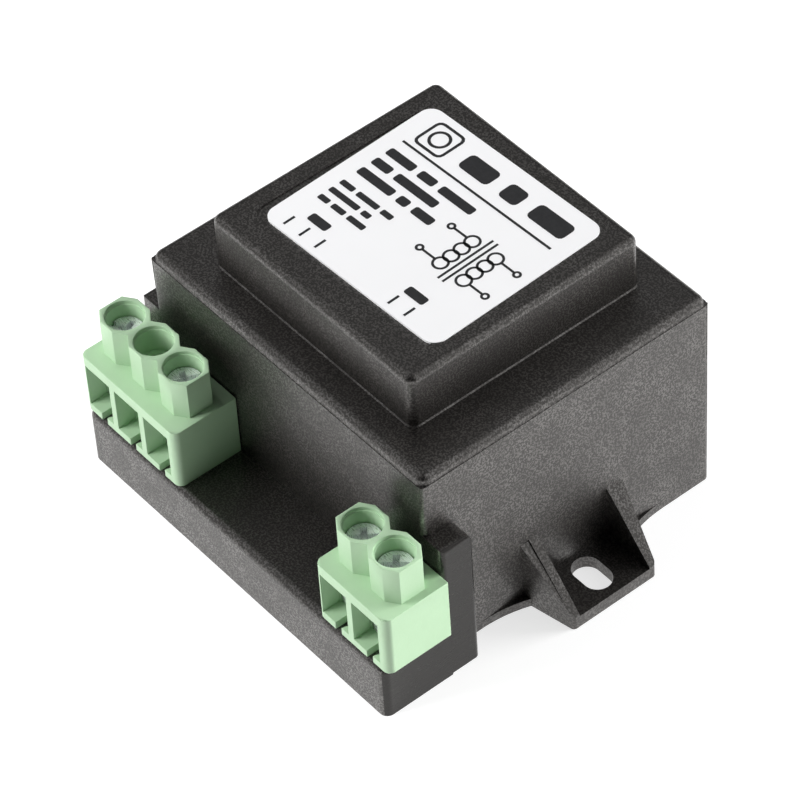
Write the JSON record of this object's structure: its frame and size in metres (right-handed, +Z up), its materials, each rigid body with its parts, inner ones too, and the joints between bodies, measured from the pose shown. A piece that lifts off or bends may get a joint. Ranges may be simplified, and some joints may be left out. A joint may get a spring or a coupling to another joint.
{
  "type": "din rail transformer",
  "caption": "Small potted safety isolating transformer: black moulded case with slotted screw lugs, white label and green screw terminal blocks.",
  "frame": {"origin": "on the base plane, at the middle of the overall length and width", "axes": "+X along the terminal row from the three-way block to the two-way block, -Y to the terminal side, +Z up from the mounting face"},
  "size_m": [0.0572, 0.0468, 0.0342],
  "materials": {
    "case_plastic": "matte",
    "resin": "satin",
    "label_film": "satin",
    "core_steel": "satin",
    "bobbin_plastic": "matte",
    "winding_wire": "satin",
    "tape_film": "satin",
    "lead_brown": "matte",
    "lead_blue": "matte",
    "lead_red": "matte",
    "terminal_green": "satin",
    "contact_metal": "satin",
    "zinc_steel": "satin"
  },
  "bodies": {
    "housing": {"case": "case_plastic", "potting_resin": "resin", "rating_label": "label_film", "core_e_stack": "core_steel", "core_i_stack": "core_steel", "bobbin": "bobbin_plastic", "primary_winding": "winding_wire", "secondary_winding": "winding_wire", "primary_tape": "tape_film", "secondary_tape": "tape_film", "primary_lead_a": "lead_brown", "primary_lead_b": "lead_blue", "secondary_lead_a": "lead_red", "secondary_lead_b": "lead_red", "terminal_block_3way": "terminal_green", "terminal_block_2way": "terminal_green", "primary_contact_a": "contact_metal", "primary_contact_b": "contact_metal", "secondary_contact_a": "contact_metal", "secondary_contact_b": "contact_metal"},
    "primary_screw_a_body": {"primary_screw_a": "zinc_steel"},
    "primary_cage_a_body": {"primary_cage_a": "zinc_steel"},
    "primary_screw_b_body": {"primary_screw_b": "zinc_steel"},
    "primary_cage_b_body": {"primary_cage_b": "zinc_steel"},
    "secondary_screw_a_body": {"secondary_screw_a": "zinc_steel"},
    "secondary_cage_a_body": {"secondary_cage_a": "zinc_steel"},
    "secondary_screw_b_body": {"secondary_screw_b": "zinc_steel"},
    "secondary_cage_b_body": {"secondary_cage_b": "zinc_steel"}
  },
  "joints": [
    {"name": "primary_screw_a_turn", "type": "hinge", "parent": "housing", "child": "primary_screw_a_body", "pos_m": [-0.02215, -0.01883, 0.01675], "axis": [0, 0, -1], "range_deg": [0, 1513]},
    {"name": "primary_cage_a_rise", "type": "slide", "parent": "housing", "child": "primary_cage_a_body", "axis": [0, 0, 1], "range_m": [0, 0.0021]},
    {"name": "primary_screw_b_turn", "type": "hinge", "parent": "housing", "child": "primary_screw_b_body", "pos_m": [-0.01215, -0.01883, 0.01675], "axis": [0, 0, -1], "range_deg": [0, 1513]},
    {"name": "primary_cage_b_rise", "type": "slide", "parent": "housing", "child": "primary_cage_b_body", "axis": [0, 0, 1], "range_m": [0, 0.0021]},
    {"name": "secondary_screw_a_turn", "type": "hinge", "parent": "housing", "child": "secondary_screw_a_body", "pos_m": [0.0172, -0.01883, 0.01675], "axis": [0, 0, -1], "range_deg": [0, 1513]},
    {"name": "secondary_cage_a_rise", "type": "slide", "parent": "housing", "child": "secondary_cage_a_body", "axis": [0, 0, 1], "range_m": [0, 0.0021]},
    {"name": "secondary_screw_b_turn", "type": "hinge", "parent": "housing", "child": "secondary_screw_b_body", "pos_m": [0.0222, -0.01883, 0.01675], "axis": [0, 0, -1], "range_deg": [0, 1513]},
    {"name": "secondary_cage_b_rise", "type": "slide", "parent": "housing", "child": "secondary_cage_b_body", "axis": [0, 0, 1], "range_m": [0, 0.0021]}
  ],
  "couplings": [
    {"joint": "primary_screw_a_turn", "follows": "primary_cage_a_rise", "rad_per_m": 12566},
    {"joint": "primary_screw_b_turn", "follows": "primary_cage_b_rise", "rad_per_m": 12566},
    {"joint": "secondary_screw_a_turn", "follows": "secondary_cage_a_rise", "rad_per_m": 12566},
    {"joint": "secondary_screw_b_turn", "follows": "secondary_cage_b_rise", "rad_per_m": 12566}
  ]
}
